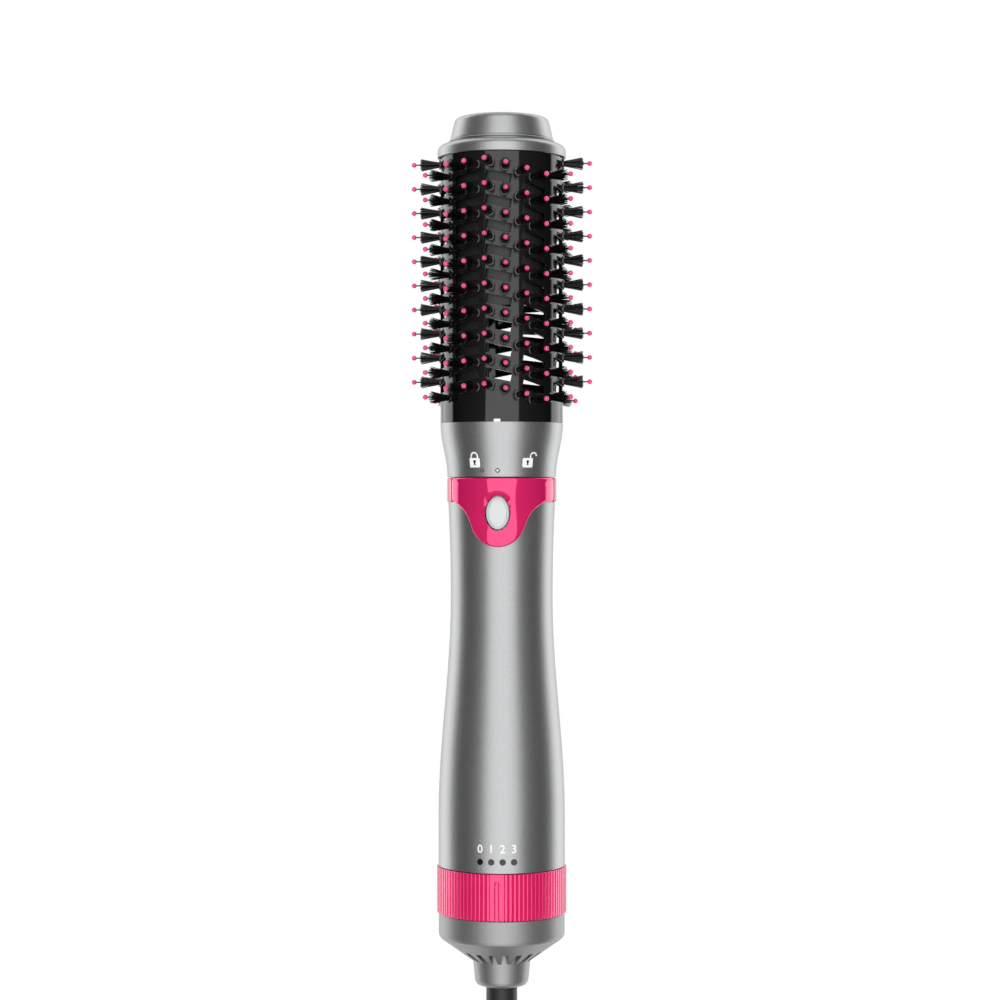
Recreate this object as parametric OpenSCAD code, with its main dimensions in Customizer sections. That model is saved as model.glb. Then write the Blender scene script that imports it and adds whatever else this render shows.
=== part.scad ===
// Hot air brush: a vented round brush head on a waisted handle that holds the fan, motor and heater.
// +Z runs up the brush axis and -Y is the front, where the release button is.
// The origin is on the axis at the waist of the handle, where a hand holds it.

/* [Handle] */
// Radius of the handle at its waist
waist_r = 22.05; // [21.9:0.05:22.2]
// Height of the waist above the origin
waist_z = 2; // [0:0.5:3]
// Radius of the handle just under the release band
shoulder_r = 23.1; // [23:0.05:23.2]
// Radius of the handle at its lower end
grip_r = 27.35; // [27.2:0.05:27.4]
// Length over which the handle widens below the waist
flare_len = 96; // [92:1:100]
// Thickness of the moulded walls
wall = 2.2; // [2:0.1:2.3]

/* [Release band and button] */
// Outer radius of the release band
band_r = 23.7; // [23.6:0.05:23.8]
// Height of the band's lower edge
band_z = 42.4; // [42:0.2:42.6]
// Height of the band's upper edge, where the head begins
band_top = 52.9; // [52.9:0.1:53]
// Height of the lowest point of the band's tongue
tongue_z = 23.3; // [22.5:0.1:24]
// Height of the middle of the push button
button_z = 37.8; // [37.6:0.1:38]
// Width of the hole for the push button
button_w = 11; // [10.6:0.1:11.2]
// Height of the hole for the push button
button_h = 15.1; // [14.8:0.1:15.4]
// Depth that the button is pushed in
button_travel = 1.8; // [1.5:0.1:1.8]

/* [Speed ring and rear cap] */
// Radius over the ribs of the speed ring
ring_r = 28; // [27.8:0.1:28.2]
// Height of the seam between handle and speed ring
ring_top = -114.3; // [-114.5:0.1:-114.1]
// Height of the seam between speed ring and rear cap
ring_bottom = -134.8; // [-135:0.1:-134.6]
// Number of rib places round the speed ring
rib_places = 90; // [84:6:96]
// Radius of the rear cap
cap_r = 27.2; // [27:0.1:27.3]
// Number of air intake slots in the rear cap
intake_slots = 20; // [16:2:22]

/* [Brush head] */
// Outer radius of the barrel
barrel_r = 26.5; // [26.4:0.05:26.6]
// Height of the barrel's lower edge
barrel_z = 76.4; // [76:0.1:76.6]
// Height of the barrel's upper edge
barrel_top = 191.5; // [191.4:0.1:191.6]
// Radius of the end cap's rim
rim_r = 27.75; // [27.6:0.05:27.9]
// Height of the top of the end cap
head_top = 208.4; // [208.2:0.1:208.6]
// Distance between the pins of a column
pin_pitch = 10.47; // [10.3:0.01:10.5]
// Radius at which the ball tips of the pins lie
pin_tip_r = 38.1; // [37.8:0.1:38.4]

/* [Cord] */
// Diameter of the mains cord
cord_d = 7; // [6.8:0.1:7]
// Distance between the two plug pins
plug_pitch = 19; // [18.9:0.05:19.1]
// Diameter of a plug pin
plug_pin_d = 4.8; // [4.7:0.05:4.8]

/* [Hidden] */
$fn = 96;
PINK = "#e6326e";
SILVER = "#9c9ea1";
BLACK = "#1d1d1f";

// Running clearance of turning parts, and the gap between covers that move past each other
run_gap = 0.05;
cover_gap = 0.3;

// Pins: angle of each column round the head from the front, and the height of its top pin
pin_rows = 10;
front_columns = [
    [-54.25, 181.2], [-33.75, 184.5], [-20.25, 185.3], [-6.75, 186.2],
    [6.75, 184.4], [20.25, 182.1], [33.75, 180.1], [54.25, 181.2], [90, 188.6]
];
columns = [for (turn = [0, 180]) for (c = front_columns) [c[0] + turn, c[1]]];

// Vents: angle, height of the top vent's middle, slant and width of each column of vents
vent_rows = 9;
vent_h = 3.8;
front_vents = [[-72, 174.9, 8, 11], [-31, 179.7, 7, 12.6], [1, 180.1, -11, 11.2],
    [36, 174.8, -16, 11.4], [72, 174.9, -8, 11]];
vents = [for (turn = [0, 180]) for (v = front_vents) [v[0] + turn, v[1], v[2], v[3]]];

// Angles of the four marks of the speed ring on the handle
mark_angles = [-15.25, -5.1, 5.1, 15.25];
mark_z = -109.5;

// Cord: free stretch from the bend sleeve to the hank, and from the hank to the plug
sleeve_end = -208;
hank_top = -268;
hank_run = 88;
hank_turns = 5;
hank_pitch = 7.2;
hank_y = -18;
fold_r = 21;
hank_pinch = 11;
plug_top = -420;
plug_face = -458;
lead_route = [
    [0, 0, -208], [0, 0, -214], [0.8, -0.7, -222], [3.1, -2.6, -229], [6.7, -5.7, -235],
    [10.5, -9, -239.5], [14.3, -12.3, -244], [17.9, -15.4, -250], [20.2, -17.3, -257],
    [21, -18, -265], [21, -18, -268]
];
tail_route = [
    [21, 20, -356], [21, 20, -360], [20.2, 19.3, -368], [18, 17.2, -375], [14.4, 13.7, -381],
    [10.5, 10, -386], [6.6, 6.3, -391], [3, 2.8, -397], [0.8, 0.7, -404], [0, 0, -412], [0, 0, -420]
];

function column_name(i) = str("bristle_column_", i < 9 ? "0" : "", i + 1);

// Eases from 0 to 1 as u goes from 0 to 1
function ease(u) = (1 - cos(180 * min(max(u, 0), 1))) / 2;

// Outer radius of the handle at height z
function handle_r(z) = z > waist_z
    ? waist_r + (shoulder_r - waist_r) * pow((z - waist_z) / (band_z - waist_z), 2)
    : waist_r + (grip_r - waist_r) * ease((waist_z - z) / flare_len);

// Points of the handle's outline, made smaller by inset
function handle_side(from, to, inset) =
    [for (i = [0:26]) let(z = from + (to - from) * i / 26) [handle_r(z) - inset, z]];

// Half the width of the band's tongue at height z
tongue_round = 12.2;
function tongue_x(z) =
    let(middle = tongue_z + tongue_round, flare_from = 30)
    sqrt(max(0, pow(tongue_round, 2) - pow(z - middle, 2)))
    + 9.8 * pow(max(0, z - flare_from) / (band_z - flare_from), 3);

module tube(r_out, r_in, low, high)
    difference() {
        translate([0, 0, low]) cylinder(r = r_out, h = high - low);
        translate([0, 0, low - 1]) cylinder(r = r_in, h = high - low + 2);
    }

module disc(r, low, high)
    translate([0, 0, low]) cylinder(r = r, h = high - low);

// A block from the low corner to the high corner
module block(low, high)
    translate(low) cube(high - low);

module ring_of_wire(ring_r, wire_r)
    rotate_extrude() translate([ring_r, 0]) circle(r = wire_r, $fn = 24);

// A round rod from point a to point b
module round_rod(a, b, r) {
    v = b - a;
    translate(a)
        rotate([0, acos(v[2] / norm(v)), atan2(v[1], v[0])])
            cylinder(r = r, h = norm(v), $fn = 24);
}

// A prism along Y with an oval outline of width w and height h, between two depths
module oval_prism(w, h, front, back)
    translate([0, back, button_z])
        rotate([90, 0, 0])
            linear_extrude(back - front)
                polygon([for (a = [0:7.5:359]) [w / 2 * cos(a), h / 2 * sin(a)]]);

// A tube with flat sides swept along a list of points
module swept_tube(path, r, sides) {
    last = len(path) - 1;
    function along(i) = path[min(i + 1, last)] - path[max(i - 1, 0)];
    function side_of(i) = let(c = cross(along(i), [0, 1, 0])) c / norm(c);
    function other_of(i) = let(c = cross(side_of(i), along(i))) c / norm(c);
    rings = [for (i = [0:last]) for (k = [0:sides - 1])
        path[i] + r * (cos(360 * k / sides) * side_of(i) + sin(360 * k / sides) * other_of(i))];
    walls = [for (i = [0:last - 1]) for (k = [0:sides - 1])
        let(a = i * sides + k, b = i * sides + (k + 1) % sides) each
            [[a, a + sides, b + sides], [a, b + sides, b]]];
    first_end = [for (k = [0:sides - 1]) k];
    last_end = [for (k = [sides - 1:-1:0]) last * sides + k];
    polyhedron(points = rings, faces = concat(walls, [first_end, last_end]));
}

// ---- Handle body ----

module handle_solid()
    rotate_extrude()
        polygon(concat([[0, band_z]], handle_side(band_z, ring_top, 0), [[0, ring_top]]));

module handle_shell()
    color(SILVER)
        difference() {
            rotate_extrude()
                polygon(concat(
                    handle_side(band_z, ring_top, 0),
                    [[24.5 + run_gap, ring_top], [24.5 + run_gap, -107.5]],
                    handle_side(-105.5, band_z, wall)
                ));
            oval_prism(button_w, button_h, -30, -10);
        }

module release_band()
    color(PINK)
        difference() {
            union() {
                tube(band_r, 21.25, band_z, band_top);
                intersection() {
                    disc(band_r, tongue_z, band_z + 0.5);
                    rotate([90, 0, 0])
                        linear_extrude(30)
                            polygon(concat(
                                [for (i = [0:24]) let(z = tongue_z + (band_z - tongue_z) * i / 24)
                                    [tongue_x(z), z]],
                                [[tongue_x(band_z), band_z + 0.5], [-tongue_x(band_z), band_z + 0.5]],
                                [for (i = [24:-1:1]) let(z = tongue_z + (band_z - tongue_z) * i / 24)
                                    [-tongue_x(z), z]]
                            ));
                }
            }
            handle_solid();
            disc(21.25, band_z - 1, band_top);
            oval_prism(button_w, button_h, -30, -10);
        }

module outlet_spigot()
    color(BLACK)
        difference() {
            union() {
                tube(20.6, 17.5, 47, 72);
                tube(21.2, 17.5, 47, 50);
                tube(21.6, 17.5, 54.4, 55.9);
                tube(21.6, 17.5, 62.1, 63.6);
            }
            block([-3.5, -22, 46], [3.5, -14, 56]);
        }

module outlet_grille()
    color(BLACK) {
        tube(17.45, 15.8, 69.5, 71.5);
        tube(8.4, 7, 69.5, 71.5);
        for (a = [0:60:300])
            rotate([0, 0, a]) block([8, -0.7, 69.5], [16.2, 0.7, 71.5]);
        for (a = [30:60:330])
            rotate([0, 0, a]) block([-0.1, -0.6, 69.5], [7.4, 0.6, 71.5]);
    }

sleeve_r = 14.5;

module heater_sleeve()
    color("#c8b48c") tube(sleeve_r, sleeve_r - 0.5, -34, 46);

module heater_frame()
    color("#b9a880") {
        block([-12.3, -0.4, -33], [12.3, 0.4, 44]);
        block([-0.4, -12.3, -33], [0.4, 12.3, 44]);
    }

module heater_coils()
    color("#7d7f82")
        for (i = [0:9])
            translate([0, 0, -28 + 7.5 * i]) ring_of_wire(12.9, 0.5);

module thermal_cutout()
    color("#d8d8d8") {
        translate([6, 0.4, -24.3]) rotate([-90, 0, 0]) cylinder(r = 3.5, h = 3);
        block([3.5, 0.4, -31], [8.5, 1.4, -24]);
    }

module fan_duct()
    color(BLACK) {
        tube(21.9, 20.9, -104, -62);
        tube(14.4, 13.2, -82, -64);
        for (a = [0:360 / 7:359])
            rotate([0, 0, a])
                translate([17.5, 0, -73])
                    rotate([20, 0, 0]) cube([7.6, 1.2, 15], center = true);
    }

motor_r = 12.5;
shaft_r = 1.15;

module motor_can()
    color("silver")
        difference() {
            union() {
                disc(motor_r, -86, -56);
                disc(4, -88, -86);
            }
            disc(shaft_r + run_gap, -89, -60);
        }

module motor_mount()
    color(BLACK) tube(13.15, motor_r + 0.05, -80, -66);

module control_board()
    color("#2f6b45") {
        block([-19, -4, -131], [19, -2.4, -108]);
        for (x = [-15, -11, 11, 15])
            translate([x, -2.4, -119]) rotate([-90, 0, 0]) cylinder(r = 1.4, h = 3);
        translate([0, -2.4, -118]) rotate([-90, 0, 0]) cylinder(r = 5, h = 11);
    }

module speed_switch()
    color("#303236") block([-6, -16.3, -130], [6, -4, -116]);

wire_route = [
    [0, 18, -116], [0, 19.5, -112.5], [0, 21, -109.5], [0, 22.75, -105], [0, 22.75, -60],
    [0, 20.6, -48], [0, 17.6, -30], [0, 17.2, 20]
];

module inner_wires()
    color("#7a2d22")
        for (a = [-12, 0, 12])
            rotate([0, 0, a]) swept_tube(wire_route, 0.7, 8);

neck_r = 24.5;
cup_hole_r = 12.7;
slot_len_r = 19.4;

module rear_cap()
    color(SILVER)
        difference() {
            rotate_extrude()
                polygon([
                    [22.6, -108], [neck_r, -108], [neck_r, ring_bottom], [cap_r, ring_bottom],
                    [cap_r, -143.8], [cap_r - 0.3, -144.9], [cap_r - 1.1, -145.8],
                    [cup_hole_r, -155.4], [cup_hole_r, -152.9], [24.2, -145.2],
                    [25, -144.2], [25, -138.2], [22.6, -136.6]
                ]);
            block([-9.5, -26, -127], [9.5, -18, -119]);
            for (i = [0:intake_slots - 1])
                rotate([0, 0, 360 * (i + 0.5) / intake_slots])
                    block([cup_hole_r - 1, -1.25, -158], [slot_len_r, 1.25, -145]);
        }

module intake_filter()
    color("#4a4c50") {
        tube(22.8, 21.6, -144.8, -144.2);
        tube(10.6, 9.6, -144.8, -144.2);
        for (i = [0:35])
            rotate([0, 0, 10 * i]) block([10.2, -0.25, -144.8], [22, 0.25, -144.2]);
    }

module cap_screws()
    color("silver")
        for (a = [30, 150, 270])
            rotate([0, 0, a]) {
                round_rod([20.4, 0, -110], [22.6, 0, -110], 2);
                round_rod([22.6, 0, -110], [26, 0, -110], 1);
            }

module contact_block()
    color("#303236") {
        disc(9, -149.2, -141);
        for (a = [90, 210, 330])
            rotate([0, 0, a]) block([8, -1.5, -144.1], [24.9, 1.5, -141.1]);
    }

module setting_dots()
    color("black")
        for (a = mark_angles)
            rotate([0, 0, a])
                round_rod([0, 0.6 - grip_r, mark_z], [0, -0.05 - grip_r, mark_z], 1.35);

// ---- Button body ----

button_gap = 0.4;
flange_front = -19.5;
flange_back = -18.3;

module push_button()
    color("#e8e8ea") {
        oval_prism(button_w - 2 * button_gap, button_h - 2 * button_gap, -24.1, flange_front);
        oval_prism(button_w - 2 * button_gap - 1.6, button_h - 2 * button_gap - 2.2, -24.4, -24);
        oval_prism(button_w + 1.6, button_h + 1.5, flange_front, flange_back);
    }

module button_latch()
    color("#303236") {
        block([-3, flange_back, 42], [3, flange_back + 1.4, 55.4]);
        block([-3, flange_back - 0.9, 52.5], [3, flange_back, 55.4]);
    }

module button_spring()
    color("silver")
        for (i = [0:3])
            translate([0, flange_back + 0.4 + 0.95 * i, 36])
                rotate([90, 0, 0]) ring_of_wire(2.4, 0.3);

// ---- Speed dial body ----

module speed_ring()
    color(PINK)
        difference() {
            translate([0, 0, ring_bottom + cover_gap])
                linear_extrude(ring_top - ring_bottom - 2 * cover_gap)
                    polygon([for (i = [0:rib_places - 1]) for (part = [0:3])
                        let(
                            pitch = 360 / rib_places,
                            place = (i + [0, 0.2, 0.5, 0.7][part]) * pitch - 90,
                            flat = i < 2 || i > rib_places - 3,
                            r = flat || part < 1 || part > 2 ? ring_r - 0.45 : ring_r
                        )
                        r * [cos(place), sin(place)]]);
            disc(neck_r + run_gap, ring_bottom, ring_top);
        }

module switch_fork()
    color("#303236")
        difference() {
            block([-2, -neck_r - 0.9, -125], [2, -18, -121]);
            difference() {
                disc(neck_r + 4, -126, -120);
                disc(neck_r + run_gap, -127, -119);
            }
        }

// ---- Fan body ----

module fan_impeller()
    color("#c9c2b0")
        difference() {
            union() {
                disc(8.5, -100, -91);
                translate([0, 0, -103.5]) cylinder(r1 = 4, r2 = 8.5, h = 3.5);
                for (a = [0:40:320])
                    rotate([0, 0, a])
                        translate([14, 0, -95.5])
                            rotate([38, 0, 0]) cube([12.2, 1.1, 9], center = true);
            }
            disc(shaft_r, -105, -90);
        }

module motor_shaft()
    color("silver") disc(shaft_r, -103.5, -62);

// ---- Lock ring body ----

dog_w = 4;

module lock_ring()
    color("#303236") {
        tube(22, 20.6 + run_gap, 56, 62);
        for (a = [90, 210, 330])
            rotate([0, 0, a]) block([21.8, -dog_w / 2, 57], [22.65, dog_w / 2, 61]);
    }

// ---- Cord body ----

module swivel_cup()
    color(SILVER)
        rotate_extrude()
            polygon([
                [6.75, -163.5], [6.75, -166.4], [9, -166.4], [10.4, -165.9], [11.2, -165],
                [11.6, -163.9], [12.35, -155.5], [12.35, -151.2], [14.4, -151.2],
                [14.4, -149.8], [9.6, -149.8], [9.6, -163.5]
            ]);

module bend_sleeve()
    color(BLACK)
        rotate_extrude()
            polygon([
                [0, -160.6], [9.5, -160.6], [9.5, -163.45], [6.7, -163.45], [6.7, -176],
                [6.4, -180], [4.9, sleeve_end + 0.6], [4.4, sleeve_end], [0, sleeve_end]
            ]);

module cord_lead()
    color(BLACK) swept_tube(lead_route, cord_d / 2, 10);

module cord_tail()
    color(BLACK) swept_tube(tail_route, cord_d / 2, 10);

// Half the width of the hank's outline at a share of the run
function hank_half(share) = fold_r - hank_pinch * pow(sin(180 * share), 2) + cord_d / 2;

module cord_hank() {
    outer = fold_r + cord_d / 2;
    low = hank_top - hank_run;
    depth = hank_pitch * (hank_turns + 0.28) + cord_d;
    right_side = [for (i = [0:18]) [hank_half(i / 18), hank_top - hank_run * i / 18]];
    color(BLACK)
        translate([0, hank_y - cord_d / 2 + depth, 0])
            rotate([90, 0, 0])
                linear_extrude(depth)
                    polygon(concat(
                        [for (a = [165:-15:15]) [outer * cos(a), hank_top + outer * sin(a)]],
                        right_side,
                        [for (a = [-15:-15:-165]) [outer * cos(a), low + outer * sin(a)]],
                        [for (i = [18:-1:0]) [-right_side[i][0], right_side[i][1]]]
                    ));
}

module hank_tie() {
    half_x = hank_half(0.5) + 0.4;
    low_y = hank_y - cord_d / 2 - 0.2;
    high_y = hank_y + hank_pitch * (hank_turns + 0.28) + cord_d / 2 + 0.2;
    middle = hank_top - hank_run / 2;
    color("#303236")
        difference() {
            block([-half_x - 1.4, low_y - 1.4, middle - 5], [half_x + 1.4, high_y + 1.4, middle + 5]);
            block([-half_x, low_y, middle - 6], [half_x, high_y, middle + 6]);
        }
}

module plug_body()
    color(BLACK)
        hull() {
            disc(5.5, plug_top - 2, plug_top, $fn = 32);
            translate([0, 0, plug_top - 16]) linear_extrude(1) plug_outline(12, 8.5);
            translate([0, 0, plug_face]) linear_extrude(12) plug_outline(17.8, 13);
        }

// Round-ended outline of half width a and half depth b
module plug_outline(a, b)
    polygon([for (i = [0:10:350]) [a * cos(i), b * sin(i)]]);

module plug_pins()
    color("silver")
        for (x = [-plug_pitch / 2, plug_pitch / 2])
            translate([x, 0, 0]) {
                disc(plug_pin_d / 2, plug_face - 18, plug_face);
                translate([0, 0, plug_face - 19]) cylinder(r1 = plug_pin_d / 2 - 0.8, r2 = plug_pin_d / 2, h = 1);
            }

// ---- Head body ----

// Socket of the head that goes over the lock ring, and the duct above it
socket_r = 22.3;
socket_z = 54.4;
socket_top = 77;
duct_r = barrel_r - 1.6;
skirt_r = socket_r + 0.65;

// Notches in the head's socket for the dogs of the lock ring
module dog_notches()
    for (a = [90, 210, 330])
        rotate([0, 0, a])
            block([21, -dog_w / 2 - 0.2, 52], [skirt_r, dog_w / 2 + 0.2, 63]);

module head_barrel()
    color(BLACK)
        difference() {
            rotate_extrude()
                polygon([
                    [socket_r, socket_z], [socket_r + 0.6, socket_z], [socket_r + 0.6, 66], [24, 69.8],
                    [24, barrel_z], [barrel_r, barrel_z], [barrel_r, barrel_top],
                    [duct_r, barrel_top], [duct_r, socket_top + 2.6], [socket_r, socket_top]
                ]);
            dog_notches();
            for (v = vents)
                for (row = [0:vent_rows - 1])
                    rotate([0, 0, v[0] - 90])
                        translate([barrel_r - 1, 0, v[1] - pin_pitch * row])
                            rotate([v[2], 0, 0]) cube([6, v[3], vent_h], center = true);
        }

module head_collar()
    color(SILVER)
        difference() {
            rotate_extrude()
                polygon(concat(
                    [[socket_r + 0.1, band_top + cover_gap], [socket_r + 0.1, socket_z], [skirt_r, socket_z],
                        [skirt_r, 65.9], [24.05, 69.75], [24.05, barrel_z]],
                    [for (i = [12:-1:0]) let(
                        z = band_top + cover_gap + (barrel_z - band_top - cover_gap) * i / 12
                    ) [23.5 + (barrel_r - 23.5) * ease(i / 12), z]]
                ));
            dog_notches();
        }

module head_cap()
    color(SILVER) {
        rotate_extrude()
            polygon(concat(
                [[20.4, barrel_top], [26.6, barrel_top], [26.6, 190.9], [27.4, 190.9], [rim_r, 191.3]],
                [for (a = [0:10:90]) [22.9 + (rim_r - 22.9) * cos(a), 194 + 3 * sin(a)]],
                [[22.95, 197.3], [22.7, 197.7], [22.3, 197.9], [22.45, 198.2], [20.55, 206.2],
                    [20.2, 207.2], [19.5, 207.95], [18.5, head_top], [0, head_top],
                    [0, 206.2], [18.3, 206.2], [20.4, 197.6]]
            ));
        disc(3.5, 185.6, 206.5);
    }

module cap_insulator()
    color("#303236") {
        tube(24.85, 23, 183.6, barrel_top);
        disc(23.5, 184, 185.6);
    }

module cap_screw()
    color("silver") {
        disc(3, 182.2, 184);
        disc(1.5, 183, 198);
    }

// Liner behind the vents: its slots lie between the columns of vents, so air bends round to get out
guide_r = duct_r - 1;
guide_wall = 0.6;
guide_low = 80;
guide_top = 183.5;
guide_lip = 1.2;
guide_slots = [-52, 18, 54, 90];
guide_slot_w = 3.2;

module air_guide()
    color("#202124")
        difference() {
            union() {
                tube(guide_r, guide_r - guide_wall, guide_low, guide_top);
                tube(duct_r - run_gap, guide_r - guide_wall, guide_low, guide_low + guide_lip);
                tube(duct_r - run_gap, guide_r - guide_wall, guide_top - guide_lip, guide_top);
            }
            for (turn = [0, 180])
                for (a = guide_slots)
                    rotate([0, 0, a + turn - 90])
                        block(
                            [guide_r - 2, -guide_slot_w / 2, guide_low + 8],
                            [guide_r + 0.5, guide_slot_w / 2, guide_top - 8]
                        );
        }

module ball_pins()
    color(PINK)
        for (c = columns)
            for (row = [0:pin_rows - 1])
                rotate([0, 0, c[0] - 90])
                    translate([0, 0, c[1] - pin_pitch * row]) {
                        rotate([0, 90, 0])
                            translate([0, 0, 25.4]) cylinder(r = 0.35, h = pin_tip_r - 25.4, $fn = 24);
                        translate([pin_tip_r, 0, 0]) sphere(r = 1.1, $fn = 24);
                    }

// One column of bristle tufts, each a boss on the barrel and a bundle that spreads outwards
module bristle_column(i)
    color("black")
        for (row = [0:pin_rows - 1])
            rotate([0, 0, columns[i][0] - 90])
                translate([26, 0, columns[i][1] - pin_pitch * row])
                    rotate([0, 90, 0])
                        rotate_extrude($fn = 32)
                            polygon([[0, 0], [2.15, 0], [2.15, 1.2], [1.3, 1.5], [2.7, 9.5], [0, 9.5]]);

handle_shell();
release_band();
outlet_spigot();
outlet_grille();
heater_sleeve();
heater_frame();
heater_coils();
thermal_cutout();
fan_duct();
motor_can();
motor_mount();
control_board();
speed_switch();
inner_wires();
rear_cap();
intake_filter();
cap_screws();
contact_block();
setting_dots();
push_button();
button_latch();
button_spring();
speed_ring();
switch_fork();
fan_impeller();
motor_shaft();
lock_ring();
swivel_cup();
bend_sleeve();
cord_lead();
cord_hank();
cord_tail();
hank_tie();
plug_body();
plug_pins();
head_barrel();
head_collar();
head_cap();
cap_insulator();
cap_screw();
air_guide();
ball_pins();
for (i = [0:len(columns) - 1])
    bristle_column(i);
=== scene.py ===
"""Hot air brush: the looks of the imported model.

Angles round the brush axis start at the front and grow to the right.
"""

import math

import bmesh
import bpy
import numpy as np
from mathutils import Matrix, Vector


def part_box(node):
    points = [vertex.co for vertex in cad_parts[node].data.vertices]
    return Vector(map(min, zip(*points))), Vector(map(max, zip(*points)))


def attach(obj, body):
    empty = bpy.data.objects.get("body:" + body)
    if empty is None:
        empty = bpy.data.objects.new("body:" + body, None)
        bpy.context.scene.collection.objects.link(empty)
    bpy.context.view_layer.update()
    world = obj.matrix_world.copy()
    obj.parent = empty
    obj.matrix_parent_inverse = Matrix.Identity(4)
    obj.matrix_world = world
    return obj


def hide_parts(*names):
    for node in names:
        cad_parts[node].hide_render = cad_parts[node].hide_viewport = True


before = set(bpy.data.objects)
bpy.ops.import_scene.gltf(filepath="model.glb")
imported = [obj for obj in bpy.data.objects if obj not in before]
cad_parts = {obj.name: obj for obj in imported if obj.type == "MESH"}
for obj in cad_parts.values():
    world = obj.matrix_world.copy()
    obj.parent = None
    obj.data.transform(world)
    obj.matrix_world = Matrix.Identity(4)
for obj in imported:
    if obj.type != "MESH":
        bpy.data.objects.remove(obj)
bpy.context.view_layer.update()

MM = 0.001
scene = bpy.context.scene
scene.view_settings.view_transform = "Standard"

# ---------------------------------------------------------------- camera

CAMERA_TURN = math.radians(4.3)  # round the brush axis, from straight in front
CAMERA_DISTANCE = 1.039
CAMERA_HEIGHT = 0.0433
CAMERA_SIDESTEP = 0.00074
CAMERA_LENS, CAMERA_SENSOR = 86.4, 36
CAMERA_NEAR, CAMERA_FAR = 0.02, 60

camera = bpy.data.objects.new("camera", bpy.data.cameras.new("camera"))
camera.data.lens = CAMERA_LENS
camera.data.sensor_width = CAMERA_SENSOR
camera.data.clip_start, camera.data.clip_end = CAMERA_NEAR, CAMERA_FAR
to_camera = Vector((math.sin(CAMERA_TURN), -math.cos(CAMERA_TURN), 0))
to_right = Vector((math.cos(CAMERA_TURN), math.sin(CAMERA_TURN), 0))
camera.location = (to_camera * CAMERA_DISTANCE - to_right * CAMERA_SIDESTEP
                   + Vector((0, 0, CAMERA_HEIGHT)))
camera.rotation_mode = "QUATERNION"
camera.rotation_quaternion = (-to_camera).to_track_quat("-Z", "Y")
scene.collection.objects.link(camera)
scene.camera = camera

# ---------------------------------------------------------------- materials

NOISE_LOW, NOISE_HIGH = 0.3, 0.7  # most of a noise texture lies between these
COLOUR_A, COLOUR_B, COLOUR_OUT = 6, 7, 2  # sockets of a Mix node that mixes colours
NUMBER_A, NUMBER_B = 2, 3  # sockets of a Mix node that mixes numbers
EDGE_SAMPLES = 4


def material(name, colour, rough, metallic=0.0, vary=0.06, vary_scale=400, rough_vary=0.05,
             bump=0.0, bump_scale=2500, cells=False, edge=0.0, **sockets):
    """A procedural material whose colour and roughness wander a little, with a fine grain."""
    m = bpy.data.materials.new(name)
    m.use_nodes = True
    tree = m.node_tree
    nodes, links = tree.nodes, tree.links
    shader = nodes["Principled BSDF"]
    place = nodes.new("ShaderNodeTexCoord").outputs["Object"]
    wander = nodes.new("ShaderNodeTexNoise")
    wander.inputs["Scale"].default_value = vary_scale
    wander.inputs["Detail"].default_value = 4
    links.new(place, wander.inputs["Vector"])
    tint = nodes.new("ShaderNodeMix")
    tint.data_type = "RGBA"
    tint.inputs[COLOUR_A].default_value = [c * (1 - vary) for c in colour] + [1]
    tint.inputs[COLOUR_B].default_value = [min(1, c * (1 + vary)) for c in colour] + [1]
    links.new(wander.outputs["Fac"], tint.inputs[0])
    links.new(tint.outputs[COLOUR_OUT], shader.inputs["Base Color"])
    spread = nodes.new("ShaderNodeMapRange")
    spread.inputs["From Min"].default_value = NOISE_LOW
    spread.inputs["From Max"].default_value = NOISE_HIGH
    spread.inputs["To Min"].default_value = rough * (1 - rough_vary)
    spread.inputs["To Max"].default_value = rough * (1 + rough_vary)
    links.new(wander.outputs["Fac"], spread.inputs["Value"])
    links.new(spread.outputs["Result"], shader.inputs["Roughness"])
    shader.inputs["Metallic"].default_value = metallic
    if bump:
        if cells:
            grain = nodes.new("ShaderNodeTexVoronoi")
            grain.feature = "F1"
            height = grain.outputs["Distance"]
        else:
            grain = nodes.new("ShaderNodeTexNoise")
            grain.inputs["Detail"].default_value = 2
            height = grain.outputs["Fac"]
        grain.inputs["Scale"].default_value = bump_scale
        links.new(place, grain.inputs["Vector"])
        relief = nodes.new("ShaderNodeBump")
        relief.inputs["Strength"].default_value = 1.0
        relief.inputs["Distance"].default_value = bump * MM
        links.new(height, relief.inputs["Height"])
        if edge:
            soft = nodes.new("ShaderNodeBevel")
            soft.inputs["Radius"].default_value = edge * MM
            soft.samples = EDGE_SAMPLES
            links.new(soft.outputs["Normal"], relief.inputs["Normal"])
        links.new(relief.outputs["Normal"], shader.inputs["Normal"])
    for socket, value in sockets.items():
        shader.inputs[socket.replace("_", " ")].default_value = value
    return m


SILVER, PINK = (0.335, 0.338, 0.342), (0.82, 0.012, 0.15)
FLAKES = dict(vary_scale=1800, rough_vary=0.12, bump_scale=1800, cells=True)  # metallic paint

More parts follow.
